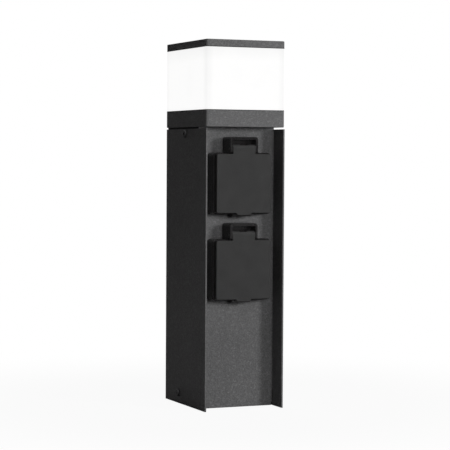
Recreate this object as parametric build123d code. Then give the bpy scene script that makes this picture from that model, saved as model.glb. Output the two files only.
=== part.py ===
from build123d import *
import os

# A garden socket post: a folded sheet shell with a recessed front panel, two flap-lid sockets one above
# the other, and a lamp head with an opal diffuser. Millimetres, Z up, front towards -Y, origin on the
# ground under the middle of the post.

os.makedirs("parts", exist_ok=True)

# Shell and front panel
post_width = 85.0
post_depth = 108.0
shell_height = 280.0
sheet = 1.5
shell_bend = 2.2
recess_depth = 22.5
panel_flange = 12.0
panel_flange_top = 252.0
panel_bend = 1.6

# Neck frame that carries the lamp head above the shell
head_gap = 1.8
neck_height = 24.0
neck_flange = 14.0
rod_edge = 8.0

# Lamp head
head_corner = 2.5
head_edge = 0.7
lamp_base_height = 16.2
lamp_base_wall = 2.5
lamp_base_floor = 2.0
seal_thickness = 0.8
diffuser_height = 61.5
diffuser_wall = 3.0
cap_height = 6.7
cap_skin = 2.0
locating_rib = 1.8
locating_rib_height = 3.0
locating_clearance = 0.3
tie_rod_radius = 2.0
tie_rod_grip = 3.4
tie_rod_boss_radius = 4.2

# Lamp gear
led_plate_width = 56.0
led_plate_depth = 76.0
led_plate_thickness = 1.5
led_plate_lift = 12.0
pillar_radius = 3.6
pillar_inset = 6.0
pillar_screw_radius = 1.4
pillar_screw_depth = 8.0
led_board_width = 36.0
led_board_depth = 56.0
led_board_thickness = 1.6
led_size = 3.5
led_thickness = 0.8
led_columns = 4
led_rows = 5
driver_width = 30.0
driver_depth = 46.0
driver_height = 9.5
driver_corner = 2.0
driver_cable_gap = 2.7
driver_lug_width = 9.0
driver_lug_length = 6.0
driver_lug_thickness = 2.0
driver_screw_radius = 1.5

# Sockets, measured from the panel face and from each socket's centre
socket_pitch = 86.0
upper_socket_z = 225.7
lid_protrusion = 19.85
lid_width = 59.2
lid_height = 58.7
lid_corner = 2.0
lid_depth = 5.3
lid_skin = 2.0
lid_skirt = 1.8
lid_edge = 0.6
lid_gap = 0.3
tab_width = 24.4
lip_width = 13.7
lip_taper = 1.6
lip_drop = 2.2
lip_thickness = 3.4
gasket_thickness = 1.0
base_width = 64.0
base_height = 61.3
base_corner = 4.5
base_wall = 2.4
base_edge = 0.8
catch_width = 19.6
catch_drop = 2.3
hood_width = 30.0
hood_rise = 15.7
hood_corner = 3.0
hood_roof = 2.7
hood_back = 9.0
hood_edge = 0.6
pin_inset = 0.5
hinge_drop = 5.6
barrel_radius = 4.0
barrel_clearance = 0.3
pin_radius = 1.25
pin_clearance = 0.05
spring_wire = 0.7
spring_radius = 1.95
spring_turns = 6.25
spring_gap = 0.45
spring_pocket_clearance = 0.3
spring_leg = 2.9
seal_inset = 3.2
seal_width = 2.2

# Socket insert
insert_radius = 23.0
insert_clearance = 0.2
insert_step = 0.5
insert_edge = 0.6
ring_wall = 2.2
well_radius = 19.75
well_depth = 17.5
well_floor = 3.0
insert_flange_width = 58.0
insert_flange_height = 57.0
insert_flange_thickness = 3.0
contact_carrier_radius = 22.0
rear_depth = 22.0
rear_cover_thickness = 2.5
cover_screw_x = 17.2
cover_screw_radius = 1.3
cover_screw_length = 10.0
cover_screw_head_height = 1.6
cable_radius = 3.5
cable_clearance = 0.3
cable_collar = 1.8
cable_collar_height = 3.0
cable_drop = 9.0
contact_pitch = 19.0
contact_hole_radius = 2.7
contact_radius = 3.6
contact_wall = 0.8
contact_length = 16.0
contact_slot = 0.9
contact_clearance = 0.1
guide_width = 5.0
guide_height = 2.4
guide_setback = 2.0
strap_width = 6.0
strap_thickness = 0.8
strap_reach = 18.9
strap_clearance = 0.3
strap_tip = 4.0
strap_bump = 1.1

# Fasteners
socket_screw_x = 25.3
socket_screw_z = 24.2
socket_screw_radius = 1.6
socket_screw_length = 20.0
socket_head_radius = 3.1
socket_head_height = 2.2
socket_boss_radius = 4.4
cross_recess_width = 0.9
cross_recess_depth = 1.2
cross_recess_share = 1.3
screw_clearance = 0.3
thread_clearance = 0.05
side_screw_radius = 2.0
side_screw_length = 11.0
side_head_radius = 3.9
side_head_height = 2.1
side_head_edge = 1.1
hex_socket_radius = 1.4
hex_socket_depth = 1.3
upper_screw_z = 275.0
lower_screw_z = 10.8
lower_screw_y = 16.0
nut_radius = 4.0
nut_height = 3.2
washer_radius = 4.5
washer_thickness = 0.8

# Ground bracket, terminals and earth stud
bracket_sheet = 2.0
bracket_bend = 2.5
bracket_length = 78.0
bracket_ear_height = 24.0
bracket_ear_length = 44.0
bracket_ear_corner = 6.0
anchor_spacing_x = 52.0
anchor_spacing_y = 56.0
anchor_radius = 3.5
grommet_bore = 9.0
grommet_wall = 3.0
grommet_flange = 3.0
grommet_rise = 2.0
grommet_edge = 0.8
terminal_width = 44.0
terminal_depth = 17.0
terminal_height = 19.0
terminal_y = 22.0
terminal_z = 58.0
terminal_poles = 3
terminal_groove = 1.2
terminal_screw_radius = 2.1
terminal_screw_height = 1.0
terminal_entry_pitch = 13.0
terminal_slot_width = 0.8
terminal_row_shares = (0.27, 0.73)
carrier_width = 30.0
carrier_foot = 12.0
earth_stud_radius = 2.0
earth_stud_length = 12.0
earth_stud_x = 30.0
earth_stud_z = 40.0
earth_nut_height = 3.2

# Inner cables
cable_bend = 9.0
lamp_cable_gap = 0.7
lamp_cable_rise = 12.0
lamp_cable_shift = 24.0
lamp_cable_top = 3.0

overrun = 1.0
hexagon_sides = 6
quarter_turn = 90.0

# Places worked out from the sizes
front_y = -post_depth / 2
back_y = post_depth / 2
panel_y = front_y + recess_depth
panel_back_y = panel_y + sheet
inner_x = post_width / 2 - sheet
inner_back_y = back_y - sheet
neck_top = shell_height + head_gap
neck_bottom = neck_top - neck_height
lamp_base_top = neck_top + lamp_base_height
diffuser_bottom = lamp_base_top + seal_thickness
diffuser_top = diffuser_bottom + diffuser_height
cap_bottom = diffuser_top + seal_thickness
gear_floor = neck_top + lamp_base_floor
led_plate_z = gear_floor + led_plate_lift
cable_hole_radius = cable_radius + cable_clearance
lamp_cable_y = inner_back_y - neck_flange - cable_hole_radius - lamp_cable_gap
driver_back = lamp_cable_y - cable_hole_radius - driver_cable_gap
driver_y = driver_back - driver_lug_length - driver_depth / 2
rod_x = inner_x - rod_edge
rod_front_y = panel_back_y + rod_edge
rod_back_y = inner_back_y - rod_edge
bracket_y = (panel_back_y + inner_back_y) / 2

lid_top = lid_height / 2
lid_back = lid_protrusion - lid_depth
rim = lid_back - lid_gap
base_top = base_height / 2
hinge_z = lid_top + hinge_drop
hinge_out = lid_protrusion - barrel_radius
hood_top = base_top + hood_rise
insert_front = rim - insert_step
well_bottom = insert_front - well_depth
floor_back = well_bottom - well_floor
rear_back = floor_back - rear_depth


def write(node, *solids):
    """Writes one node, as a single solid or as a group of like solids."""
    export_step(solids[0] if len(solids) == 1 else Compound(list(solids)), f"parts/{node}.step")


def block(x, y, z):
    """A box from its low and high side along each axis."""
    sizes = [high - low for low, high in (x, y, z)]
    return Pos(x[0], y[0], z[0]) * Box(*sizes, align=(Align.MIN, Align.MIN, Align.MIN))


def bar(radius, start, end):
    """A round bar from one point to another."""
    way = Vector(*end) - Vector(*start)
    base = Plane(origin=start, z_dir=way)
    return base * Cylinder(radius, way.length, align=(Align.CENTER, Align.CENTER, Align.MIN))


def rectangle(x, y):
    """A flat rectangle from its low and high side both ways."""
    middle = Pos((x[0] + x[1]) / 2, (y[0] + y[1]) / 2)
    return middle * Rectangle(x[1] - x[0], y[1] - y[0])


def upright(outline, low, high):
    """A solid from a plan outline, between two heights."""
    return extrude(Pos(0, 0, low) * outline, high - low, dir=(0, 0, 1))


def forward(outline, start, end):
    """A solid from a front-view outline, between two distances in front of the panel face."""
    return extrude(Plane.XZ.offset(start) * outline, end - start, dir=(0, -1, 0))


def sideways(outline, low, high):
    """A solid from a side-view outline, between two places along X."""
    return extrude(Plane.YZ.offset(low) * outline, high - low, dir=(1, 0, 0))


def hexagon_nut(radius, bore, start, end):
    """A hexagon nut with a plain bore, from one face to the other."""
    way = Vector(*end) - Vector(*start)
    plane = Plane(origin=start, z_dir=way)
    return extrude(plane * (RegularPolygon(radius, hexagon_sides) - Circle(bore)), way.length)


def cross_recess(head_radius, middle, inwards):
    """The cross-shaped driver recess in a screw head, from the middle of its face inwards."""
    length = cross_recess_share * head_radius
    cross = Rectangle(length, cross_recess_width) + Rectangle(cross_recess_width, length)
    return extrude(Plane(origin=middle, z_dir=inwards) * cross, cross_recess_depth)


def four_corners(x, low_y, high_y):
    """The four plan positions at plus and minus x."""
    return [(side * x, y) for side in (-1, 1) for y in (low_y, high_y)]


# Shell: back and two side walls folded from one sheet, open in front and below

def make_shell():
    outer = Rectangle(post_width, post_depth)
    outer = fillet(outer.vertices().group_by(Axis.Y)[-1], shell_bend)
    inner = Rectangle(post_width - 2 * sheet, post_depth - 2 * sheet)
    inner = fillet(inner.vertices().group_by(Axis.Y)[-1], shell_bend - sheet)
    mouth = Pos(0, front_y) * Rectangle(post_width - 2 * sheet, 2 * shell_bend + 2 * sheet)
    shell = upright(outer - inner - mouth, 0, shell_height)
    for y, z in ((0, upper_screw_z), (lower_screw_y, lower_screw_z)):
        shell -= bar(side_screw_radius + screw_clearance, (-post_width, y, z), (post_width, y, z))
    return shell


# Front panel: a flat plate with two round cut-outs and side flanges folded back along the walls

def socket_heights():
    return {"upper": upper_socket_z, "lower": upper_socket_z - socket_pitch}


def socket_screw_places(centre_z):
    return [(sx * socket_screw_x, centre_z + sz * socket_screw_z) for sx in (-1, 1) for sz in (-1, 1)]


def make_front_panel():
    plan = Pos(0, panel_y + panel_flange / 2) * Rectangle(2 * inner_x, panel_flange)
    plan = fillet(plan.vertices().group_by(Axis.Y)[0], panel_bend + sheet)
    hollow = Pos(0, panel_back_y + panel_flange / 2) * Rectangle(2 * (inner_x - sheet), panel_flange)
    hollow = fillet(hollow.vertices().group_by(Axis.Y)[0], panel_bend)
    panel = upright(plan - hollow, 0, panel_flange_top)
    panel += block((-inner_x, inner_x), (panel_y, panel_back_y), (panel_bend + sheet, neck_top))
    for z in socket_heights().values():
        panel -= bar(insert_radius + insert_clearance, (0, panel_y - overrun, z), (0, back_y, z))
        for x, screw_z in socket_screw_places(z):
            hole = socket_screw_radius + screw_clearance
            panel -= bar(hole, (x, panel_y - overrun, screw_z), (x, back_y, screw_z))
    return panel


# Neck frame: a folded collar inside the top of the shell, whose flange carries the head

def make_neck_frame():
    plan_y = (panel_back_y, inner_back_y)
    frame = block((-inner_x, inner_x), plan_y, (neck_bottom, neck_top))
    frame = fillet(frame.edges().filter_by(Axis.Z).group_by(Axis.Y)[-1], shell_bend - sheet)
    frame -= block(
        (-inner_x + sheet, inner_x - sheet),
        (plan_y[0] + sheet, plan_y[1] - sheet),
        (neck_bottom - overrun, neck_top - sheet),
    )
    frame -= block(
        (-inner_x + neck_flange, inner_x - neck_flange),
        (plan_y[0] + neck_flange, plan_y[1] - neck_flange),
        (neck_bottom, neck_top + overrun),
    )
    for x, y in four_corners(rod_x, rod_front_y, rod_back_y):
        frame -= bar(tie_rod_radius + screw_clearance, (x, y, neck_bottom), (x, y, neck_top + overrun))
    hole = side_screw_radius + screw_clearance
    frame -= bar(hole, (-post_width, 0, upper_screw_z), (post_width, 0, upper_screw_z))
    return frame


# Lamp head: base pan, seals, diffuser tube and cap, clamped together by four tie rods

def head_outline(inset=0.0):
    corner = max(head_corner - inset, seal_thickness)
    return RectangleRounded(post_width - 2 * inset, post_depth - 2 * inset, corner)


def locating_ring():
    outside = diffuser_wall + locating_clearance
    return head_outline(outside) - head_outline(outside + locating_rib)


def pillar_places():
    x = led_plate_width / 2 - pillar_inset
    y = led_plate_depth / 2 - pillar_inset
    return four_corners(x, -y, y)


def driver_screw_places():
    y = (driver_depth + driver_lug_length) / 2
    return [(0, driver_y - y), (0, driver_y + y)]


def make_lamp_base():
    pan = upright(head_outline(), neck_top, lamp_base_top)
    pan = fillet(pan.faces().sort_by(Axis.Z)[0].edges(), head_edge)
    pan -= upright(head_outline(lamp_base_wall), gear_floor, lamp_base_top + overrun)
    rib_foot = lamp_base_top - locating_rib_height
    inside = diffuser_wall + locating_clearance + locating_rib
    pan += upright(head_outline(lamp_base_wall) - head_outline(inside), rib_foot, lamp_base_top)
    pan += upright(locating_ring(), lamp_base_top - overrun, diffuser_bottom + locating_rib_height)
    for x, y in pillar_places():
        pan += bar(pillar_radius, (x, y, gear_floor), (x, y, led_plate_z))
        pan -= bar(pillar_screw_radius, (x, y, led_plate_z - pillar_screw_depth), (x, y, lamp_base_top))
    for x, y in four_corners(rod_x, rod_front_y, rod_back_y):
        pan += bar(tie_rod_boss_radius, (x, y, neck_top), (x, y, led_plate_z))
        pan -= bar(tie_rod_radius + screw_clearance, (x, y, neck_top - overrun), (x, y, lamp_base_top))
    for x, y in driver_screw_places():
        pan -= bar(driver_screw_radius, (x, y, neck_top - overrun), (x, y, gear_floor + overrun))
    y = lamp_cable_y
    pan -= bar(cable_hole_radius, (0, y, neck_top - overrun), (0, y, gear_floor + overrun))
    return pan


def make_diffuser_seal(low):
    return upright(head_outline() - head_outline(diffuser_wall), low, low + seal_thickness)


def make_diffuser():
    return upright(head_outline() - head_outline(diffuser_wall), diffuser_bottom, diffuser_top)


def make_cap():
    cap = upright(head_outline(), cap_bottom, cap_bottom + cap_height)
    cap = fillet(cap.faces().sort_by(Axis.Z)[-1].edges(), head_edge)
    under_skin = cap_bottom + cap_height - cap_skin
    cap -= upright(head_outline(diffuser_wall), cap_bottom - overrun, under_skin)
    inside = diffuser_wall + locating_clearance + locating_rib
    cap += upright(head_outline(diffuser_wall) - head_outline(inside), cap_bottom, under_skin)
    cap += upright(locating_ring(), diffuser_top - locating_rib_height, cap_bottom + overrun)
    for x, y in four_corners(rod_x, rod_front_y, rod_back_y):
        cap += bar(tie_rod_boss_radius, (x, y, diffuser_top), (x, y, under_skin + overrun))
        cap -= bar(tie_rod_radius + thread_clearance, (x, y, diffuser_top - overrun), (x, y, rod_tip()))
    return cap


def rod_tip():
    return diffuser_top + tie_rod_grip + seal_thickness


def rod_foot():
    return neck_top - sheet - washer_thickness - nut_height


def make_tie_rods():
    places = four_corners(rod_x, rod_front_y, rod_back_y)
    return [bar(tie_rod_radius, (x, y, rod_foot()), (x, y, rod_tip())) for x, y in places]


def make_tie_rod_nuts():
    nuts = []
    for x, y in four_corners(rod_x, rod_front_y, rod_back_y):
        top = rod_foot() + nut_height
        bore = tie_rod_radius + thread_clearance
        nuts.append(hexagon_nut(nut_radius, bore, (x, y, rod_foot()), (x, y, top)))
    return nuts


def make_tie_rod_washers():
    washers = []
    for x, y in four_corners(rod_x, rod_front_y, rod_back_y):
        ring = Circle(washer_radius) - Circle(tie_rod_radius + thread_clearance)
        washers.append(upright(Pos(x, y) * ring, neck_top - sheet - washer_thickness, neck_top - sheet))
    return washers


# Lamp gear: driver on the pan's floor, light board on a heat-spreader plate above it

def make_led_driver():
    place = Pos(0, driver_y)
    outline = place * RectangleRounded(driver_width, driver_depth, driver_corner)
    case = upright(outline, gear_floor, gear_floor + driver_height)
    lugs = place * Rectangle(driver_lug_width, driver_depth + 2 * driver_lug_length)
    case += upright(lugs, gear_floor, gear_floor + driver_lug_thickness)
    for x, y in driver_screw_places():
        hole = driver_screw_radius + thread_clearance
        case -= bar(hole, (x, y, gear_floor - overrun), (x, y, gear_floor + driver_height))
    return case


def make_driver_screws():
    screws = []
    for x, y in driver_screw_places():
        seat = gear_floor + driver_lug_thickness
        foot = neck_top + screw_clearance
        shank = bar(driver_screw_radius - thread_clearance, (x, y, foot), (x, y, seat))
        top = (x, y, seat + driver_screw_radius)
        head = bar(2 * driver_screw_radius, (x, y, seat), top)
        screws.append(shank + head - cross_recess(2 * driver_screw_radius, top, (0, 0, -1)))
    return screws


def make_led_plate():
    outline = Rectangle(led_plate_width, led_plate_depth)
    plate = upright(outline, led_plate_z, led_plate_z + led_plate_thickness)
    for x, y in pillar_places():
        plate -= bar(pillar_screw_radius + screw_clearance, (x, y, gear_floor), (x, y, diffuser_top))
    return plate


def make_led_plate_screws():
    screws = []
    for x, y in pillar_places():
        seat = led_plate_z + led_plate_thickness
        foot = led_plate_z - pillar_screw_depth + overrun
        shank = bar(pillar_screw_radius - thread_clearance, (x, y, foot), (x, y, seat))
        top = (x, y, seat + pillar_screw_radius)
        head = bar(2 * pillar_screw_radius, (x, y, seat), top)
        screws.append(shank + head - cross_recess(2 * pillar_screw_radius, top, (0, 0, -1)))
    return screws


def make_led_board():
    low = led_plate_z + led_plate_thickness
    return upright(Rectangle(led_board_width, led_board_depth), low, low + led_board_thickness)


def make_leds():
    low = led_plate_z + led_plate_thickness + led_board_thickness
    step_x = led_board_width / led_columns
    step_y = led_board_depth / led_rows
    grid = GridLocations(step_x, step_y, led_columns, led_rows)
    return [upright(place * Rectangle(led_size, led_size), low, low + led_thickness) for place in grid]


# Socket base: moulded frame on the panel, with the hinge hood above and a catch block below

def hood_outline():
    low = base_top - base_wall
    middle = (low + hood_top) / 2
    outline = Pos(0, middle) * Rectangle(hood_width, hood_top - low)
    return fillet(outline.vertices().group_by(Axis.Y)[-1], hood_corner)


def ear_profile():
    """Side view of the hood: flush with the lid in front, rounded about the pin below it."""
    over_base = rectangle((-rim, -gasket_thickness), (base_top - base_wall, hood_top))
    over_pin = rectangle((-lid_protrusion, -rim), (hinge_z, hood_top))
    nose = Pos(-hinge_out, hinge_z) * Circle(hinge_drop - lid_gap)
    nose &= rectangle((-lid_protrusion, 0), (0, hood_top))
    return over_base + over_pin + nose


def make_socket_base():
    body = forward(RectangleRounded(base_width, base_height, base_corner), gasket_thickness, rim)
    body = chamfer(body.faces().sort_by(Axis.Y)[0].edges(), base_edge)
    pocket = RectangleRounded(
        base_width - 2 * base_wall, base_height - 2 * base_wall, base_corner - base_wall
    )
    body -= forward(pocket, gasket_thickness - overrun, rim - base_wall)
    hole = insert_radius + insert_clearance
    body += forward(Circle(hole + ring_wall), gasket_thickness, rim)
    catch_low = -base_height / 2 - catch_drop
    body += block(
        (-catch_width / 2, catch_width / 2),
        (-rim + base_edge, -gasket_thickness),
        (catch_low, -base_height / 2 + base_wall),
    )
    hood = forward(hood_outline(), gasket_thickness, lid_protrusion)
    front = hood.faces().sort_by(Axis.Y)[0].edges()
    hood = fillet([edge for edge in front if edge.center().Z > base_top], hood_edge)
    hood &= sideways(ear_profile(), -hood_width / 2, hood_width / 2)
    between = (-tab_width / 2 - barrel_clearance, tab_width / 2 + barrel_clearance)
    hood -= block(between, (-lid_protrusion - overrun, -hood_back), (base_top, hood_top - hood_roof))
    hood -= block(between, (-lid_protrusion - overrun, -rim), (base_top - base_wall, base_top + overrun))
    body += hood
    for x, z in socket_screw_places(0):
        body += bar(socket_boss_radius, (x, -gasket_thickness, z), (x, -rim + base_edge, z))
        body -= bar(socket_screw_radius + screw_clearance, (x, 0, z), (x, -lid_back, z))
        seat = rim - socket_head_height - screw_clearance
        body -= bar(socket_head_radius + screw_clearance, (x, -seat, z), (x, -lid_back, z))
    body -= forward(Circle(hole), 0, lid_back)
    body -= bar(pin_radius, (-hood_width, -hinge_out, hinge_z), (hood_width, -hinge_out, hinge_z))
    return body


def make_gasket():
    outline = RectangleRounded(base_width, base_height, base_corner) + hood_outline()
    outline -= Circle(insert_radius + insert_clearance)
    for x, z in socket_screw_places(0):
        outline -= Pos(x, z) * Circle(socket_screw_radius + screw_clearance)
    return forward(outline, 0, gasket_thickness)


def make_socket_screws():
    screws = []
    for x, z in socket_screw_places(0):
        seat = rim - socket_head_height - screw_clearance
        shank = bar(socket_screw_radius, (x, -seat + socket_screw_length, z), (x, -seat, z))
        top = (x, -seat - socket_head_height, z)
        head = bar(socket_head_radius, (x, -seat, z), top)
        screws.append(shank + head - cross_recess(socket_head_radius, top, (0, 1, 0)))
    return screws


# Socket insert: round moulding with the plug well, and the contact carrier behind the well's floor

def make_insert():
    body = forward(Circle(insert_radius), floor_back, insert_front)
    body -= forward(Circle(well_radius), well_bottom, insert_front + overrun)
    body = fillet(body.faces().sort_by(Axis.Y)[0].edges(), insert_edge)
    plate = RectangleRounded(insert_flange_width, insert_flange_height, base_corner)
    body += forward(plate - Circle(well_radius), -sheet - insert_flange_thickness, -sheet)
    guide_low = well_radius - guide_height
    slot = (-strap_width / 2 - strap_clearance, strap_width / 2 + strap_clearance)
    for side in (-1, 1):
        ends = sorted((side * guide_low, side * (well_radius + overrun)))
        lug = (-guide_width / 2, guide_width / 2)
        body += block(ends, (-insert_front + guide_setback, -well_bottom), lug)
        x = side * contact_pitch / 2
        body -= bar(contact_hole_radius, (x, -insert_front, 0), (x, -floor_back + overrun, 0))
        inner = strap_reach - strap_thickness - strap_clearance
        ends = sorted((side * inner, side * (strap_reach + strap_clearance)))
        body -= block(slot, (-well_bottom - overrun, -floor_back + overrun), ends)
    for x, z in socket_screw_places(0):
        hole = socket_screw_radius + thread_clearance
        body -= bar(hole, (x, 0, z), (x, sheet + insert_flange_thickness + overrun, z))
    return body


def make_contact_carrier():
    body = forward(Circle(contact_carrier_radius), rear_back, floor_back)
    for side in (-1, 1):
        x = side * contact_pitch / 2
        body -= bar(contact_radius + contact_clearance, (x, -floor_back - overrun, 0), (x, back_y, 0))
        hole = cover_screw_radius + thread_clearance
        ends = [(side * cover_screw_x, -rear_back + way, 0) for way in (-cover_screw_length, overrun)]
        body -= bar(hole, *ends)
    slot = (-strap_width / 2 - strap_clearance, strap_width / 2 + strap_clearance)
    groove_y = (-floor_back - overrun, -floor_back + strap_thickness + strap_clearance)
    reach = strap_reach + strap_clearance
    return body - block(slot, groove_y, (-reach, reach))


def make_contacts():
    tubes = []
    for side in (-1, 1):
        x = side * contact_pitch / 2
        ring = Pos(x, 0) * (Circle(contact_radius) - Circle(contact_radius - contact_wall))
        tube = forward(ring, floor_back - contact_length, floor_back)
        closed = forward(Pos(x, 0) * Circle(contact_radius), rear_back, floor_back - contact_length)
        slit_z = (-contact_slot / 2, contact_slot / 2)
        slit_x = (x - contact_radius - overrun, x + contact_radius + overrun)
        tube -= block(slit_x, (-floor_back - overrun, -floor_back + contact_length / 2), slit_z)
        tubes.append(tube + closed)
    return tubes


def make_earth_strap():
    """A bent strip: a bridge behind the well's floor and two sprung arms inside the well."""
    arm_end = insert_front - strap_tip
    outer = block(
        (-strap_width / 2, strap_width / 2),
        (-arm_end, -floor_back + strap_thickness),
        (-strap_reach, strap_reach),
    )
    inner = strap_reach - strap_thickness
    strap = outer - block(
        (-strap_width, strap_width), (-arm_end - overrun, -floor_back), (-inner, inner)
    )
    for side in (-1, 1):
        bump_y = -arm_end + strap_tip
        ends = [(end * strap_width / 2, bump_y, side * inner) for end in (-1, 1)]
        bump = bar(strap_bump, *ends)
        outside = sorted((side * strap_reach, side * (strap_reach + 2 * strap_bump)))
        strap += bump - block((-strap_width, strap_width), (-lid_protrusion, recess_depth), outside)
    return strap


def make_rear_cover(cable_side):
    back = rear_back - rear_cover_thickness
    cover = forward(Circle(contact_carrier_radius), back, rear_back)
    collar_place = Pos(cable_side * terminal_entry_pitch, -cable_drop)
    collar_back = back - cable_collar_height
    cover += forward(collar_place * Circle(cable_hole_radius + cable_collar), collar_back, back)
    cover -= forward(collar_place * Circle(cable_hole_radius), collar_back, rear_back)
    for side in (-1, 1):
        hole = cover_screw_radius + screw_clearance
        cover -= bar(hole, (side * cover_screw_x, 0, 0), (side * cover_screw_x, back_y, 0))
    return cover


def make_cover_screws():
    seat = -rear_back + rear_cover_thickness
    screws = []
    for side in (-1, 1):
        x = side * cover_screw_x
        shank = bar(cover_screw_radius, (x, seat - cover_screw_length, 0), (x, seat, 0))
        top = (x, seat + cover_screw_head_height, 0)
        head = bar(2 * cover_screw_radius, (x, seat, 0), top)
        screws.append(shank + head - cross_recess(2 * cover_screw_radius, top, (0, -1, 0)))
    return screws


# Flap lid: moulded skin and skirt, finger lip below, hinge tab with its barrel above

def lid_outline():
    outline = RectangleRounded(lid_width, lid_height, lid_corner)
    outline += rectangle((-tab_width / 2, tab_width / 2), (lid_top - lid_corner, hinge_z))
    half = lip_width / 2
    low = -lid_top - lip_drop
    lip = Polygon(
        (-half - lip_taper, -lid_top),
        (-half, low),
        (half, low),
        (half + lip_taper, -lid_top),
        align=None,
    )
    return outline + lip


def make_lid():
    skin = forward(lid_outline(), lid_protrusion - lid_skin, lid_protrusion)
    front = skin.faces().sort_by(Axis.Y)[0].edges()
    rounded = [edge for edge in front if edge.center().Z < hinge_z - lid_edge]
    skin = fillet(rounded, lid_edge)
    hollow = RectangleRounded(lid_width - 2 * lid_skirt, lid_height - 2 * lid_skirt, lid_corner / 2)
    wall = RectangleRounded(lid_width, lid_height, lid_corner) - hollow
    skirt = forward(wall, lid_back, lid_protrusion - lid_skin)
    half_tab = tab_width / 2
    barrel = bar(barrel_radius, (-half_tab, -hinge_out, hinge_z), (half_tab, -hinge_out, hinge_z))
    lid = skin + skirt + barrel
    pocket_half = spring_half() + spring_wire / 2 + spring_pocket_clearance
    pocket_front = hinge_out + spring_radius + spring_wire / 2 + spring_pocket_clearance
    lid -= block(
        (-pocket_half, pocket_half),
        (-pocket_front, -hinge_out + 2 * barrel_radius),
        (lid_top, hinge_z + 2 * barrel_radius),
    )
    bore = pin_radius + pin_clearance
    lid -= bar(bore, (-half_tab - overrun, -hinge_out, hinge_z), (half_tab + overrun, -hinge_out, hinge_z))
    half = lip_width / 2
    lip_y = (-lid_protrusion + lid_skin, -lid_protrusion + lip_thickness)
    lid += block((-half, half), lip_y, (-lid_top - lip_drop + lid_edge, -lid_top))
    return lid


def make_lid_seal():
    wide = lid_width - 2 * seal_inset
    high = lid_height - 2 * seal_inset
    ring = RectangleRounded(wide, high, lid_corner) - RectangleRounded(
        wide - 2 * seal_width, high - 2 * seal_width, lid_corner / 2
    )
    return forward(ring, lid_back, lid_protrusion - lid_skin)


def make_hinge_pin():
    half = hood_width / 2 - pin_inset
    return bar(pin_radius, (-half, -hinge_out, hinge_z), (half, -hinge_out, hinge_z))


def spring_half():
    return spring_turns * (spring_wire + spring_gap) / 2


def make_hinge_spring():
    """A torsion spring about the pin, with one leg up the tab's inside and one towards the hood's back."""
    pitch = spring_wire + spring_gap
    path = Helix(pitch, spring_turns * pitch, spring_radius)
    section = Plane(origin=path @ 0, z_dir=path % 0) * RegularPolygon(spring_wire / 2, hexagon_sides)
    coil = sweep(section, path, is_frenet=True)
    half = spring_half()
    coil = Pos(-half, -hinge_out, hinge_z) * Rot(0, quarter_turn, 0) * Rot(0, 0, -quarter_turn) * coil
    front_y = -hinge_out - spring_radius
    low_z = hinge_z - spring_radius
    front_leg = bar(spring_wire / 2, (-half, front_y, hinge_z), (-half, front_y, hinge_z + spring_leg))
    back_leg = bar(spring_wire / 2, (half, -hinge_out, low_z), (half, -hinge_out + spring_leg, low_z))
    return coil + front_leg + back_leg


# Side screws: two through each wall, the upper pair into the neck frame and the lower into the bracket

def side_screw_places():
    """Each pair's height, place along the depth, and the inner face that its nut sits on."""
    return [
        (upper_screw_z, 0, inner_x - sheet),
        (lower_screw_z, lower_screw_y, inner_x - bracket_sheet),
    ]


def make_side_screws():
    face = post_width / 2
    shank = bar(side_screw_radius, (face - side_screw_length, 0, 0), (face, 0, 0))
    head = bar(side_head_radius, (face, 0, 0), (face + side_head_height, 0, 0))
    head = fillet(head.edges().sort_by(Axis.X)[-1], side_head_edge)
    tip = face + side_head_height
    recess = RegularPolygon(hex_socket_radius, hexagon_sides)
    screw = shank + head - extrude(Plane(origin=(tip, 0, 0), z_dir=(-1, 0, 0)) * recess, hex_socket_depth)
    right = [Pos(0, y, z) * screw for z, y, _ in side_screw_places()]
    return right + [mirror(one, Plane.YZ) for one in right]


def make_side_nuts():
    nuts = []
    bore = side_screw_radius + thread_clearance
    for z, y, seat in side_screw_places():
        for side in (-1, 1):
            ends = [(side * (seat - nut_height), y, z), (side * seat, y, z)]
            nuts.append(hexagon_nut(nut_radius, bore, *ends))
    return nuts


# Ground bracket: a folded sheet screwed to the ground, with an ear for each lower side screw

def anchor_places():
    x = anchor_spacing_x / 2
    y = anchor_spacing_y / 2
    return four_corners(x, bracket_y - y, bracket_y + y)


def make_ground_bracket():
    outer = rectangle((-inner_x, inner_x), (0, bracket_ear_height))
    outer = fillet(outer.vertices().group_by(Axis.Y)[0], bracket_bend)
    inside = inner_x - bracket_sheet
    inner = rectangle((-inside, inside), (bracket_sheet, 2 * bracket_ear_height))
    inner = fillet(inner.vertices().group_by(Axis.Y)[0], bracket_bend - bracket_sheet)
    ears = extrude(Plane.XZ.offset(-lower_screw_y) * (outer - inner), bracket_ear_length / 2, both=True)
    ears = fillet(ears.edges().filter_by(Axis.X).group_by(Axis.Z)[-1], bracket_ear_corner)
    width = 2 * (inner_x - bracket_bend)
    plate = Pos(0, bracket_y) * RectangleRounded(width, bracket_length, bracket_bend)
    bracket = ears + upright(plate, 0, bracket_sheet)
    for x, y in anchor_places():
        bracket -= bar(anchor_radius, (x, y, -overrun), (x, y, bracket_sheet + overrun))
    hole = grommet_bore + grommet_wall
    bracket -= bar(hole, (0, bracket_y, -overrun), (0, bracket_y, bracket_sheet + overrun))
    screw_hole = side_screw_radius + screw_clearance
    ends = [(side * inner_x, lower_screw_y, lower_screw_z) for side in (-1, 1)]
    return bracket - bar(screw_hole, *ends)


def make_grommet():
    hole = grommet_bore + grommet_wall
    top = bracket_sheet + grommet_rise
    grommet = bar(hole, (0, bracket_y, 0), (0, bracket_y, bracket_sheet))
    grommet += bar(hole + grommet_flange, (0, bracket_y, bracket_sheet), (0, bracket_y, top))
    grommet = fillet(grommet.edges().sort_by(Axis.Z)[-1], grommet_edge)
    return grommet - bar(grommet_bore, (0, bracket_y, -overrun), (0, bracket_y, top + overrun))


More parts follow.
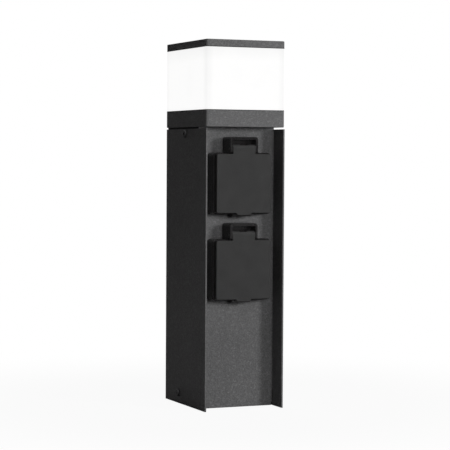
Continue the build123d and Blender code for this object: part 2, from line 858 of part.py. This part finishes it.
# Terminals: a three-pole block on an angle welded to the back wall, and the earth stud

def make_terminal_carrier():
    front = terminal_y - terminal_depth / 2
    shelf = rectangle((front, inner_back_y), (terminal_z - sheet, terminal_z))
    leg = rectangle((inner_back_y - sheet, inner_back_y), (terminal_z - sheet, terminal_z + carrier_foot))
    return sideways(shelf + leg, -carrier_width / 2, carrier_width / 2)


def terminal_screw_places():
    columns = [terminal_entry_pitch * (pole - (terminal_poles - 1) / 2) for pole in range(terminal_poles)]
    rows = [terminal_z + terminal_height * share for share in terminal_row_shares]
    return [(x, z) for x in columns for z in rows]


def make_terminal_block():
    low_y = terminal_y - terminal_depth / 2
    high_y = terminal_y + terminal_depth / 2
    top = terminal_z + terminal_height
    body = block((-terminal_width / 2, terminal_width / 2), (low_y, high_y), (terminal_z, top))
    body = chamfer(body.edges().filter_by(Axis.X), terminal_groove)
    for pole in range(terminal_poles - 1):
        x = terminal_entry_pitch * (pole - (terminal_poles - 2) / 2)
        groove = (x - terminal_groove / 2, x + terminal_groove / 2)
        groove_y = (low_y - overrun, low_y + 2 * terminal_groove)
        body -= block(groove, groove_y, (terminal_z - overrun, top + overrun))
    for x, z in terminal_screw_places():
        hole = terminal_screw_radius + screw_clearance
        body -= bar(hole, (x, low_y - overrun, z), (x, low_y + 2 * terminal_screw_height, z))
    return body


def make_terminal_screws():
    face = terminal_y - terminal_depth / 2 + 2 * terminal_screw_height
    screws = []
    for x, z in terminal_screw_places():
        screw = bar(terminal_screw_radius, (x, face - terminal_screw_height, z), (x, face, z))
        slot_x = (x - terminal_screw_radius, x + terminal_screw_radius)
        slot_y = (face - terminal_screw_height - overrun, face - terminal_screw_height / 2)
        half = terminal_slot_width / 2
        screws.append(screw - block(slot_x, slot_y, (z - half, z + half)))
    return screws


def make_earth_stud():
    return bar(
        earth_stud_radius,
        (earth_stud_x, inner_back_y - earth_stud_length, earth_stud_z),
        (earth_stud_x, inner_back_y, earth_stud_z),
    )


def make_earth_nut():
    bore = earth_stud_radius + thread_clearance
    near = (earth_stud_x, inner_back_y - earth_nut_height, earth_stud_z)
    return hexagon_nut(nut_radius, bore, near, (earth_stud_x, inner_back_y, earth_stud_z))


# Inner cables: one from each socket and one from the lamp head down to the terminal block

def tube(points):
    """A cable along straight runs joined by bends."""
    path = FilletPolyline(*points, radius=cable_bend)
    section = Plane(origin=path @ 0, z_dir=path % 0) * Circle(cable_radius)
    return sweep(section, path)


def terminal_top():
    return terminal_z + terminal_height


def make_socket_cable(centre_z, side):
    start_y = panel_y - rear_back
    z = centre_z - cable_drop
    x = side * terminal_entry_pitch
    return tube([(x, start_y, z), (x, terminal_y, z), (x, terminal_y, terminal_top())])


def make_lamp_cable():
    turn = terminal_top() + lamp_cable_rise
    return tube([
        (0, terminal_y, terminal_top()),
        (0, terminal_y, turn),
        (0, lamp_cable_y, turn + lamp_cable_shift),
        (0, lamp_cable_y, gear_floor + lamp_cable_top),
    ])


write("shell", make_shell())
write("front_panel", make_front_panel())
write("neck_frame", make_neck_frame())
write("lamp_base", make_lamp_base())
write("lower_diffuser_seal", make_diffuser_seal(lamp_base_top))
write("diffuser", make_diffuser())
write("upper_diffuser_seal", make_diffuser_seal(diffuser_top))
write("cap", make_cap())
write("tie_rods", *make_tie_rods())
write("tie_rod_nuts", *make_tie_rod_nuts())
write("tie_rod_washers", *make_tie_rod_washers())
write("led_driver", make_led_driver())
write("driver_screws", *make_driver_screws())
write("led_plate", make_led_plate())
write("led_plate_screws", *make_led_plate_screws())
write("led_board", make_led_board())
write("leds", *make_leds())

write("side_screws", *make_side_screws())
write("side_nuts", *make_side_nuts())
write("ground_bracket", make_ground_bracket())
write("cable_grommet", make_grommet())
write("terminal_carrier", make_terminal_carrier())
write("terminal_block", make_terminal_block())
write("terminal_screws", *make_terminal_screws())
write("earth_stud", make_earth_stud())
write("earth_nut", make_earth_nut())
write("lamp_cable", make_lamp_cable())

for name, height in socket_heights().items():
    place = Pos(0, panel_y, height)
    cable_side = 1 if name == "upper" else -1
    write(f"{name}_socket_cable", make_socket_cable(height, cable_side))
    write(f"{name}_socket_base", place * make_socket_base())
    write(f"{name}_gasket", place * make_gasket())
    write(f"{name}_socket_screws", *[place * screw for screw in make_socket_screws()])
    write(f"{name}_insert", place * make_insert())
    write(f"{name}_contact_carrier", place * make_contact_carrier())
    write(f"{name}_contacts", *[place * tube for tube in make_contacts()])
    write(f"{name}_earth_strap", place * make_earth_strap())
    write(f"{name}_rear_cover", place * make_rear_cover(cable_side))
    write(f"{name}_cover_screws", *[place * screw for screw in make_cover_screws()])
    write(f"{name}_lid", place * make_lid())
    write(f"{name}_lid_seal", place * make_lid_seal())
    write(f"{name}_hinge_pin", place * make_hinge_pin())
    write(f"{name}_hinge_spring", place * make_hinge_spring())
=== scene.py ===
import math

import bpy
from mathutils import Matrix, Vector


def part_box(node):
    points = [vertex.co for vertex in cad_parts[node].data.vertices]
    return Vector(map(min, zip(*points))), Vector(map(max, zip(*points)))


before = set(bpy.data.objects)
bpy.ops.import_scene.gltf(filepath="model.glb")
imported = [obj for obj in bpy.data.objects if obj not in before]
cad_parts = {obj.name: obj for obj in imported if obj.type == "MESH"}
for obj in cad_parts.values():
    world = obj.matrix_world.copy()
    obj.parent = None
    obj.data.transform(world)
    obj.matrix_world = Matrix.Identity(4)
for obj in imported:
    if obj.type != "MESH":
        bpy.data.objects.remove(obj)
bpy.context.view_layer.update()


# The studio: a white floor that runs out into white, a small soft light straight in front, a stronger one
# to the right of it and one behind. Two dark boards stand where the post's flat faces mirror them, so the
# black coat stays black, and a long lens looks from the left of the front.

camera_azimuth = math.radians(23.3)
camera_height_angle = math.radians(2.18)
camera_roll = math.radians(0.337)
camera_distance = 1.7755
camera_lens = 139.98
camera_sensor = 36.0
camera_near = 0.1
camera_far = 50.0
camera_target = Vector((-0.0036, -0.0115, 0.183))

post_middle = Vector((0, 0, 0.18))
white = (1, 1, 1, 1)
matt = 0.9
fill_light = (0.062, 0.0545, 0.057, 1)
floor_size = 12.0
floor_paint = (0.43, 0.43, 0.43, 1)
floor_shade_share = 0.06
floor_shade_reach = 0.16
floor_white_reach = 0.5
board_paint = (0.01, 0.01, 0.01, 1)

front_light_place = (0.05, -1.5, 0.44)
front_light_size = 0.33
front_light_power = 12.4
side_light_place = (0.8, -1.28, 0.44)
side_light_size = 0.3
side_light_power = 17.6
back_light_place = (0.45, 1.4, 0.9)
back_light_size = 1.0
back_light_power = 14.0
back_board_place = (-0.75, 0.75, 0.35)
back_board_size = 1.5
front_board_place = (1.0, -2.2, 0.4)
front_board_size = 1.7


def place_camera():
    """A long lens at two thirds of the post's height, to the left of the front."""
    flat = math.cos(camera_height_angle)
    back = Vector((
        -math.sin(camera_azimuth) * flat,
        -math.cos(camera_azimuth) * flat,
        math.sin(camera_height_angle),
    ))
    level_right = Vector((math.cos(camera_azimuth), -math.sin(camera_azimuth), 0))
    level_up = back.cross(level_right)
    right = level_right * math.cos(camera_roll) + level_up * math.sin(camera_roll)
    up = level_up * math.cos(camera_roll) - level_right * math.sin(camera_roll)
    camera = bpy.data.objects.new("camera", bpy.data.cameras.new("camera"))
    bpy.context.scene.collection.objects.link(camera)
    camera.data.sensor_width = camera_sensor
    camera.data.lens = camera_lens
    camera.data.clip_start = camera_near
    camera.data.clip_end = camera_far
    turned = Matrix((right, up, back)).transposed().to_4x4()
    camera.matrix_world = Matrix.Translation(camera_target + back * camera_distance) @ turned
    bpy.context.scene.camera = camera


def light_panel(name, place, size, power):
    """A square softbox that faces the post and shows in none of its reflections."""
    lamp = bpy.data.lights.new(name, "AREA")
    lamp.shape = "RECTANGLE"
    lamp.size = size
    lamp.size_y = size
    lamp.energy = power
    box = bpy.data.objects.new(name, lamp)
    box.location = place
    box.rotation_mode = "QUATERNION"
    box.rotation_quaternion = (Vector(place) - post_middle).to_track_quat("Z", "Y")
    box.visible_camera = False
    box.visible_glossy = False
    bpy.context.scene.collection.objects.link(box)


def flat_square(name, size):
    """A square sheet with its middle at the origin."""
    half = size / 2
    mesh = bpy.data.meshes.new(name)
    corners = [(-half, -half, 0), (half, -half, 0), (half, half, 0), (-half, half, 0)]
    mesh.from_pydata(corners, [], [(0, 1, 2, 3)])
    sheet = bpy.data.objects.new(name, mesh)
    bpy.context.scene.collection.objects.link(sheet)
    return sheet


def either(nodes, links, first, second):
    """1 where one of two answers, or both, is 1."""
    larger = nodes.new("ShaderNodeMath")
    larger.operation = "MAXIMUM"
    links.new(first, larger.inputs[0])
    links.new(second, larger.inputs[1])
    return larger.outputs["Value"]


def white_surroundings():
    """White where it is seen, mirrored or looked at through glass, and a weak fill where it only lights."""
    world = bpy.data.worlds.new("surroundings")
    bpy.context.scene.world = world
    world.use_nodes = True
    nodes = world.node_tree.nodes
    links = world.node_tree.links
    weak = nodes["Background"]
    weak.inputs["Color"].default_value = fill_light
    bright = nodes.new("ShaderNodeBackground")
    bright.inputs["Color"].default_value = white
    ray = nodes.new("ShaderNodeLightPath")
    seen = either(nodes, links, ray.outputs["Is Camera Ray"], ray.outputs["Is Glossy Ray"])
    seen = either(nodes, links, seen, ray.outputs["Is Transmission Ray"])
    mix = nodes.new("ShaderNodeMixShader")
    links.new(seen, mix.inputs["Fac"])
    links.new(weak.outputs["Background"], mix.inputs[1])
    links.new(bright.outputs["Background"], mix.inputs[2])
    links.new(mix.outputs["Shader"], nodes["World Output"].inputs["Surface"])


def white_floor():
    """Pale floor whose shadow shows close to the post and fades into plain white further out."""
    floor = flat_square("floor", floor_size)
    finish = bpy.data.materials.new("floor_white")
    finish.use_nodes = True
    nodes = finish.node_tree.nodes
    links = finish.node_tree.links
    paint = nodes["Principled BSDF"]
    paint.inputs["Base Color"].default_value = floor_paint
    paint.inputs["Roughness"].default_value = matt
    paint.inputs["Specular IOR Level"].default_value = 0.0
    glow = nodes.new("ShaderNodeEmission")
    glow.inputs["Color"].default_value = white
    place = nodes.new("ShaderNodeTexCoord")
    reach = nodes.new("ShaderNodeVectorMath")
    reach.operation = "LENGTH"
    links.new(place.outputs["Object"], reach.inputs[0])
    fade = nodes.new("ShaderNodeMapRange")
    fade.interpolation_type = "SMOOTHSTEP"
    fade.inputs["From Min"].default_value = floor_shade_reach
    fade.inputs["From Max"].default_value = floor_white_reach
    fade.inputs["To Min"].default_value = 1 - floor_shade_share
    links.new(reach.outputs["Value"], fade.inputs["Value"])
    ray = nodes.new("ShaderNodeLightPath")
    seen = nodes.new("ShaderNodeMath")
    seen.operation = "MULTIPLY"
    links.new(fade.outputs["Result"], seen.inputs[0])
    links.new(ray.outputs["Is Camera Ray"], seen.inputs[1])
    mix = nodes.new("ShaderNodeMixShader")
    links.new(seen.outputs["Value"], mix.inputs["Fac"])
    links.new(paint.outputs["BSDF"], mix.inputs[1])
    links.new(glow.outputs["Emission"], mix.inputs[2])
    links.new(mix.outputs["Shader"], nodes["Material Output"].inputs["Surface"])
    floor.data.materials.append(finish)


def dark_board(name, place, size):
    """A black board out of the picture, which the post's smooth black faces mirror."""
    board = flat_square(name, size)
    board.location = place
    board.rotation_mode = "QUATERNION"
    board.rotation_quaternion = (post_middle - Vector(place)).to_track_quat("Z", "Y")
    board.visible_camera = False
    finish = bpy.data.materials.new("board_black")
    finish.use_nodes = True
    paint = finish.node_tree.nodes["Principled BSDF"]
    paint.inputs["Base Color"].default_value = board_paint
    paint.inputs["Roughness"].default_value = matt
    board.data.materials.append(finish)


place_camera()
white_surroundings()
white_floor()
light_panel("front_light", front_light_place, front_light_size, front_light_power)
light_panel("side_light", side_light_place, side_light_size, side_light_power)
light_panel("back_light", back_light_place, back_light_size, back_light_power)
dark_board("back_board", back_board_place, back_board_size)
dark_board("front_board", front_board_place, front_board_size)
bpy.context.scene.view_settings.view_transform = "Standard"


# Shell and front panel: sheet steel, cut and folded, with the panel's side flanges welded to the walls. Both
# are powder coated in a fine-textured black that reads as dark grey where the light strikes it. The coat is
# a little thinner and lighter on sharp edges, and that lightening is also a painted highlight along them.

coat_black = (0.0735, 0.0735, 0.0745)
coat_roughness = 0.58
coat_roughness_below = 0.08
coat_roughness_above = 0.1
coat_shine = 0.36
coat_grain = 0.0009
coat_grain_height = 0.00014
coat_fleck = 0.0012
coat_fleck_tones = (0.78, 1.22)
coat_fleck_band = (0.32, 0.68)
coat_spot = 0.0022
coat_spot_tones = (0.97, 1.3)
coat_spot_band = (0.54, 0.74)
coat_drift = 0.05
coat_drift_tones = (0.93, 1.07)
coat_edge = 0.0006
# Edge lightening on the coat: wear, and a painted highlight as well.
coat_edge_wear_and_highlight = 1.2

round_spots = 1.0
soft_spots = 2.0
ragged_spots = 3.0
cloudy_spots = 4.0
speckle_band = (0.3, 0.7)
edge_looks = 6
edge_sharp = 0.75
edge_flat = 0.99


def start_finish(name, colour, roughness, metallic=0.0):
    """A new finish: its material, nodes, links and surface shader."""
    finish = bpy.data.materials.new(name)
    finish.use_nodes = True
    nodes = finish.node_tree.nodes
    surface = nodes["Principled BSDF"]
    surface.inputs["Base Color"].default_value = (*colour, 1)
    surface.inputs["Roughness"].default_value = roughness
    surface.inputs["Metallic"].default_value = metallic
    return finish, nodes, finish.node_tree.links, surface


def speckle(nodes, links, size, detail, stretch=(1, 1, 1)):
    """Grey noise whose spots are about the given size in metres."""
    place = nodes.new("ShaderNodeTexCoord")
    scaled = nodes.new("ShaderNodeMapping")
    scaled.inputs["Scale"].default_value = stretch
    noise = nodes.new("ShaderNodeTexNoise")
    noise.inputs["Scale"].default_value = 1 / size
    noise.inputs["Detail"].default_value = detail
    links.new(place.outputs["Object"], scaled.inputs["Vector"])
    links.new(scaled.outputs["Vector"], noise.inputs["Vector"])
    return noise.outputs["Fac"]


def spread(nodes, links, value, low, high, start=speckle_band[0], end=speckle_band[1]):
    """Noise or a mask, spread from low to high."""
    ranged = nodes.new("ShaderNodeMapRange")
    ranged.inputs["From Min"].default_value = start
    ranged.inputs["From Max"].default_value = end
    ranged.inputs["To Min"].default_value = low
    ranged.inputs["To Max"].default_value = high
    links.new(value, ranged.inputs["Value"])
    return ranged.outputs["Result"]


def multiply(nodes, links, product, *factors):
    """The first value times each of the others in turn."""
    for factor in factors:
        times = nodes.new("ShaderNodeMath")
        times.operation = "MULTIPLY"
        links.new(product, times.inputs[0])
        links.new(factor, times.inputs[1])
        product = times.outputs["Value"]
    return product


def tone(nodes, links, colour, value, surface):
    """The base colour, made lighter and darker by a value around 1."""
    shade = nodes.new("ShaderNodeVectorMath")
    shade.operation = "SCALE"
    shade.inputs[0].default_value = colour
    links.new(value, shade.inputs["Scale"])
    links.new(shade.outputs["Vector"], surface.inputs["Base Color"])


def grain_relief(nodes, links, value, height, surface):
    """Raised and sunk grain of that height in metres."""
    relief = nodes.new("ShaderNodeBump")
    relief.inputs["Strength"].default_value = 1.0
    relief.inputs["Distance"].default_value = height
    links.new(value, relief.inputs["Height"])
    links.new(relief.outputs["Normal"], surface.inputs["Normal"])


def worn_and_highlit_edges(nodes, links, width, wear_and_highlight):
    """1 on flat faces, rising to the given factor on outside and inside edges: edge wear and painted
    highlight in one.
    """
    rounded = nodes.new("ShaderNodeBevel")
    rounded.samples = edge_looks
    rounded.inputs["Radius"].default_value = width
    plain = nodes.new("ShaderNodeNewGeometry")
    turn = nodes.new("ShaderNodeVectorMath")
    turn.operation = "DOT_PRODUCT"
    links.new(rounded.outputs["Normal"], turn.inputs[0])
    links.new(plain.outputs["Normal"], turn.inputs[1])
    on_edge = spread(nodes, links, turn.outputs["Value"], 1.0, 0.0, edge_sharp, edge_flat)
    return spread(nodes, links, on_edge, 1.0, wear_and_highlight, 0.0, 1.0)


def powder_coat(name, colour, roughness, wear_and_highlight):
    """Fine-textured coat: orange-peel grain, small light flecks, faint drifts of tone, and edges lightened as
    wear and as a painted highlight.
    """
    finish, nodes, links, surface = start_finish(name, colour, roughness)
    surface.inputs["Specular IOR Level"].default_value = coat_shine
    grain = speckle(nodes, links, coat_grain, ragged_spots)
    fleck = speckle(nodes, links, coat_fleck, round_spots)
    spot = speckle(nodes, links, coat_spot, round_spots)
    drift = speckle(nodes, links, coat_drift, soft_spots)
    mottled = multiply(
        nodes,
        links,
        spread(nodes, links, fleck, *coat_fleck_tones, *coat_fleck_band),
        spread(nodes, links, spot, *coat_spot_tones, *coat_spot_band),
        spread(nodes, links, drift, *coat_drift_tones),
        # Edges lightened as wear and as a painted highlight.
        worn_and_highlit_edges(nodes, links, coat_edge, wear_and_highlight),
    )
    tone(nodes, links, colour, mottled, surface)
    smoothest = roughness - coat_roughness_below
    roughest = roughness + coat_roughness_above
    links.new(spread(nodes, links, grain, smoothest, roughest), surface.inputs["Roughness"])
    grain_relief(nodes, links, grain, coat_grain_height, surface)
    return finish


def dress(finish, *names):
    """Gives the named pieces their finish."""
    for name in names:
        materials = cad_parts[name].data.materials
        materials.clear()
        materials.append(finish)


steel_coat = powder_coat("powder_coated_steel", coat_black, coat_roughness, coat_edge_wear_and_highlight)
dress(steel_coat, "shell", "front_panel")


# Neck frame: a collar folded from sheet steel, which the upper side screws hold inside the shell's top. Its
# flange stands just above the shell and carries the head. It is dipped in black paint, and that paint is set
# nearly black as painted shade, so the gap between the shell and the head reads dark.

# Painted shade: the paint is set nearly black so the gap under the head reads dark.
neck_black_and_shade = (0.006, 0.006, 0.0062)
dipped_roughness = 0.65
dipped_shine = 0.15
dipped_runs = 0.008
dipped_runs_stretch = (1, 1, 0.3)
dipped_tones = (0.85, 1.2)
dipped_grain = 0.0012
dipped_grain_height = 0.00003


def black_paint_and_shade():
    """Thin black paint with faint runs down the sheet, set nearly black as painted shade for the gap."""
    finish, nodes, links, surface = start_finish("neck_black_paint_and_shade", neck_black_and_shade, dipped_roughness)
    surface.inputs["Specular IOR Level"].default_value = dipped_shine
    runs = speckle(nodes, links, dipped_runs, ragged_spots, dipped_runs_stretch)
    tone(nodes, links, neck_black_and_shade, spread(nodes, links, runs, *dipped_tones), surface)
    grain = speckle(nodes, links, dipped_grain, soft_spots)
    grain_relief(nodes, links, grain, dipped_grain_height, surface)
    return finish


dress(black_paint_and_shade(), "neck_frame")


# Lamp base and cap: die-cast alloy, powder coated as the shell is but slightly smoother, with edges lightened
# more, as wear and as a stronger painted highlight. Four tie rods clamp the two together, with the diffuser
# and its seals between them.

casting_black = (0.081, 0.081, 0.082)
casting_roughness = 0.55
# Stronger edge lightening on the castings: wear and painted highlight.
casting_edge_wear_and_highlight = 1.8

alloy_coat = powder_coat("powder_coated_alloy", casting_black, casting_roughness, casting_edge_wear_and_highlight)
dress(alloy_coat, "lamp_base", "cap")


# Diffuser: a tube of opal acrylic, held between the lamp base and the cap with a rubber seal at each end. Its
# glow is painted on in place of the light from the LEDs inside, and painted weaker along the cap, at its foot
# and in the corners as painted shade.

opal_white = (0.025, 0.025, 0.025)
opal_roughness = 0.32
opal_shine = 0.15
opal_light = (1, 0.999, 0.997, 1)
# Painted glow in place of the LEDs' light through the opal, with painted shade along the cap, the foot and
# the corners.
opal_painted_glow = 0.962
opal_top_painted_shade = 0.935
opal_top_shade_reach = 0.014
opal_foot_painted_shade = 0.98
opal_foot_shade_reach = 0.004
opal_corner_painted_shade = 0.93
opal_corner_shade_share = 0.82
opal_cloud = 0.02
opal_cloud_tones = (0.99, 1.01)
opal_grain = 0.0009
opal_grain_height = 0.00001


def opal_acrylic():
    """Milky plastic with a painted glow in place of the light from inside, and painted shade at the cap, foot
    and corners.
    """
    finish, nodes, links, surface = start_finish("opal_acrylic", opal_white, opal_roughness)
    surface.inputs["Specular IOR Level"].default_value = opal_shine
    low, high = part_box("diffuser")
    place = nodes.new("ShaderNodeTexCoord")
    apart = nodes.new("ShaderNodeSeparateXYZ")
    links.new(place.outputs["Object"], apart.inputs["Vector"])
    up = apart.outputs["Z"]
    # Painted shade: the glow is dimmed along the cap, at the foot and in the corners.
    top_painted_shade = spread(nodes, links, up, 1.0, opal_top_painted_shade, high.z - opal_top_shade_reach, high.z)
    foot_painted_shade = spread(nodes, links, up, opal_foot_painted_shade, 1.0, low.z, low.z + opal_foot_shade_reach)
    across = []
    for axis, half in (("X", high.x), ("Y", high.y)):
        size = nodes.new("ShaderNodeMath")
        size.operation = "ABSOLUTE"
        links.new(apart.outputs[axis], size.inputs[0])
        across.append(spread(nodes, links, size.outputs["Value"], 0.0, 1.0, 0.0, half))
    corner = multiply(nodes, links, *across)
    corner_painted_shade = spread(nodes, links, corner, 1.0, opal_corner_painted_shade, opal_corner_shade_share, 1.0)
    cloud = spread(nodes, links, speckle(nodes, links, opal_cloud, soft_spots), *opal_cloud_tones)
    glow = multiply(nodes, links, top_painted_shade, foot_painted_shade, corner_painted_shade, cloud)
    links.new(spread(nodes, links, glow, 0.0, opal_painted_glow, 0.0, 1.0), surface.inputs["Emission Strength"])
    surface.inputs["Emission Color"].default_value = opal_light
    grain_relief(nodes, links, speckle(nodes, links, opal_grain, soft_spots), opal_grain_height, surface)
    return finish


dress(opal_acrylic(), "diffuser")


# Seals and grommet: black rubber. The seals are squeezed between the diffuser and its castings, and the
# grommet lines the hole in the ground bracket. The socket gaskets, the lid seals and the sheaths of the
# cables are of the same rubber.

rubber_black = (0.018, 0.018, 0.018)
rubber_roughness = 0.75
rubber_shine = 0.3
rubber_bloom = 0.004
rubber_bloom_tones = (0.8, 1.35)
rubber_grain = 0.0004
rubber_grain_height = 0.00004


def black_rubber():
    """Matt rubber with a dusty bloom."""
    finish, nodes, links, surface = start_finish("black_rubber", rubber_black, rubber_roughness)
    surface.inputs["Specular IOR Level"].default_value = rubber_shine
    bloom = speckle(nodes, links, rubber_bloom, ragged_spots)
    tone(nodes, links, rubber_black, spread(nodes, links, bloom, *rubber_bloom_tones), surface)
    grain = speckle(nodes, links, rubber_grain, ragged_spots)
    grain_relief(nodes, links, grain, rubber_grain_height, surface)
    return finish


rubber = black_rubber()
dress(rubber, "upper_diffuser_seal", "lower_diffuser_seal", "cable_grommet")


# Tie rods with their nuts and washers, and the nuts of the side screws: zinc-plated steel, with the faint
# cloudy tone of plating. The rods screw into the cap, and their nuts pull the head down onto the neck frame
# from below.

zinc_grey = (0.58, 0.59, 0.6)
metal_cloud = 0.003
metal_cloud_tones = (0.82, 1.08)
metal_grain = 0.0006
metal_grain_height = 0.00001
metal_roughness_below = 0.06
metal_roughness_above = 0.12


def cloudy_metal(name, colour, roughness):
    """Plated or bare metal, a little cloudy in tone and uneven in gloss."""
    finish, nodes, links, surface = start_finish(name, colour, roughness, metallic=1.0)
    cloud = speckle(nodes, links, metal_cloud, cloudy_spots)
    tone(nodes, links, colour, spread(nodes, links, cloud, *metal_cloud_tones), surface)
    fine = speckle(nodes, links, metal_grain, ragged_spots)
    smoothest = roughness - metal_roughness_below
    roughest = roughness + metal_roughness_above
    links.new(spread(nodes, links, fine, smoothest, roughest), surface.inputs["Roughness"])
    grain_relief(nodes, links, fine, metal_grain_height, surface)
    return finish


zinc = cloudy_metal("zinc_plated_steel", zinc_grey, roughness=0.34)
dress(zinc, "tie_rods", "tie_rod_nuts", "tie_rod_washers", "side_nuts")


# Lamp gear: a driver in a white case, screwed to the floor of the lamp base, and above it a bare aluminium
# plate, screwed to four pillars of the casting. The plate carries the white light board and its chips.

aluminium_grey = (0.76, 0.76, 0.77)
aluminium_roughness = 0.38
aluminium_roughness_range = (0.3, 0.5)
aluminium_lines = 0.0012
aluminium_lines_stretch = (1, 0.04, 1)
aluminium_lines_tones = (0.88, 1.08)
aluminium_lines_height = 0.00001
driver_white = (0.78, 0.78, 0.77)
light_board_white = (0.8, 0.8, 0.79)
plastic_drift = 0.012
plastic_tones = (0.94, 1.06)
plastic_roughness_below = 0.05
plastic_roughness_above = 0.07
chip_yellow = (0.85, 0.72, 0.22)
chip_roughness = 0.3
chip_grain = 0.0008
chip_tones = (0.9, 1.1)
chip_light = (1, 0.93, 0.8, 1)


def rolled_aluminium():
    """Bare sheet with the long fine lines of rolling."""
    finish, nodes, links, surface = start_finish(
        "rolled_aluminium", aluminium_grey, aluminium_roughness, metallic=1.0
    )
    lines = speckle(nodes, links, aluminium_lines, cloudy_spots, aluminium_lines_stretch)
    tone(nodes, links, aluminium_grey, spread(nodes, links, lines, *aluminium_lines_tones), surface)
    links.new(spread(nodes, links, lines, *aluminium_roughness_range), surface.inputs["Roughness"])
    grain_relief(nodes, links, lines, aluminium_lines_height, surface)
    return finish


def moulded(name, colour, roughness, grain, height, tones=plastic_tones):
    """Moulded plastic with an eroded grain and a faint drift of tone."""
    finish, nodes, links, surface = start_finish(name, colour, roughness)
    drift = speckle(nodes, links, plastic_drift, ragged_spots)
    tone(nodes, links, colour, spread(nodes, links, drift, *tones), surface)
    fine = speckle(nodes, links, grain, ragged_spots)
    smoothest = roughness - plastic_roughness_below
    roughest = roughness + plastic_roughness_above
    links.new(spread(nodes, links, fine, smoothest, roughest), surface.inputs["Roughness"])
    grain_relief(nodes, links, fine, height, surface)
    return finish


def light_chip():
    """Yellow gel over a chip that shines."""
    finish, nodes, links, surface = start_finish("light_chip", chip_yellow, chip_roughness)
    grain = speckle(nodes, links, chip_grain, soft_spots)
    tone(nodes, links, chip_yellow, spread(nodes, links, grain, *chip_tones), surface)
    surface.inputs["Emission Color"].default_value = chip_light
    surface.inputs["Emission Strength"].default_value = 1.0
    return finish


driver_case = moulded("driver_case", driver_white, roughness=0.45, grain=0.0005, height=0.00002)
dress(driver_case, "led_driver")
dress(rolled_aluminium(), "led_plate")
light_board = moulded("light_board", light_board_white, roughness=0.35, grain=0.0007, height=0.00001)
dress(light_board, "led_board")
dress(light_chip(), "leds")
dress(zinc, "driver_screws", "led_plate_screws")


# Sockets: a glossy black frame with its hinge hood, screwed to the panel over a gasket, and in its middle
# the insert with the plug well. Brass contacts stand behind the holes in the well's floor, and a sprung
# steel strap shows at the top and bottom of the well.

gloss_black = (0.0082, 0.0077, 0.0079)
gloss_roughness = 0.3
gloss_roughness_range = (0.24, 0.36)
gloss_shine = 0.45
gloss_grain = 0.0005
gloss_grain_height = 0.00002
gloss_drift = 0.01
gloss_drift_tones = (0.85, 1.2)
gloss_edge = 0.0004
# Painted highlight: how much lighter the edges of the moulding are painted.
gloss_painted_highlight = 2.6
insert_black = (0.02, 0.02, 0.021)
brass_yellow = (0.72, 0.52, 0.22)
spring_steel_grey = (0.6, 0.6, 0.61)


def polished_plastic():
    """Smooth black moulding whose edges are lightened as a painted highlight."""
    finish, nodes, links, surface = start_finish("dark_gloss_plastic", gloss_black, gloss_roughness)
    surface.inputs["Specular IOR Level"].default_value = gloss_shine
    fine = speckle(nodes, links, gloss_grain, ragged_spots)
    drift = speckle(nodes, links, gloss_drift, ragged_spots)
    mottled = multiply(
        nodes,
        links,
        spread(nodes, links, drift, *gloss_drift_tones),
        # Painted highlight along the edges.
        worn_and_highlit_edges(nodes, links, gloss_edge, gloss_painted_highlight),
    )
    tone(nodes, links, gloss_black, mottled, surface)
    links.new(spread(nodes, links, fine, *gloss_roughness_range), surface.inputs["Roughness"])
    grain_relief(nodes, links, fine, gloss_grain_height, surface)
    return finish


gloss = polished_plastic()
insert_plastic = moulded("insert_plastic", insert_black, roughness=0.42, grain=0.0004, height=0.00003)
brass = cloudy_metal("bare_brass", brass_yellow, roughness=0.3)
spring_steel = cloudy_metal("spring_steel", spring_steel_grey, roughness=0.26)
for level in ("upper", "lower"):
    dress(gloss, f"{level}_socket_base")
    dress(rubber, f"{level}_gasket", f"{level}_lid_seal")
    dress(insert_plastic, f"{level}_insert", f"{level}_contact_carrier", f"{level}_rear_cover")
    dress(brass, f"{level}_contacts")
    dress(spring_steel, f"{level}_earth_strap", f"{level}_hinge_pin", f"{level}_hinge_spring")
    dress(zinc, f"{level}_socket_screws", f"{level}_cover_screws")


# Flap lids: matt black mouldings with an eroded grain. Each has a tab at the top whose barrel turns on the
# pin in the hood, and a spring round the pin shuts it.

lid_black = (0.0182, 0.0182, 0.0182)
lid_tones = (0.88, 1.12)

lid_plastic = moulded("lid_plastic", lid_black, roughness=0.62, grain=0.0006, height=0.00007, tones=lid_tones)
dress(lid_plastic, "upper_lid", "lower_lid")


# Side screws: blackened steel with button heads, two through each wall. The upper pair holds the neck frame
# and the lower pair the ground bracket.

screw_black = (0.015, 0.015, 0.016)

black_screw = moulded("blackened_steel", screw_black, roughness=0.4, grain=0.0003, height=0.00002)
dress(black_screw, "side_screws")


# Ground bracket and terminals: galvanised sheet, folded. The bracket is screwed between the walls, and the
# terminal carrier is welded to the back wall and holds a light grey terminal block. The brass earth stud
# stands on the back wall too, lower down.

galvanised_grey = (0.5, 0.51, 0.52)
terminal_grey = (0.62, 0.62, 0.59)

galvanised = cloudy_metal("galvanised_sheet", galvanised_grey, roughness=0.45)
dress(galvanised, "ground_bracket", "terminal_carrier")
terminal_plastic = moulded("terminal_plastic", terminal_grey, roughness=0.4, grain=0.0006, height=0.00002)
dress(terminal_plastic, "terminal_block")
dress(brass, "terminal_screws", "earth_stud", "earth_nut")


# Inner cables: round, in black rubber sheaths with a dusty skin. One leads from each socket and one from
# the lamp head down to the terminal block.

dress(rubber, "lamp_cable", "upper_socket_cable", "lower_socket_cable")
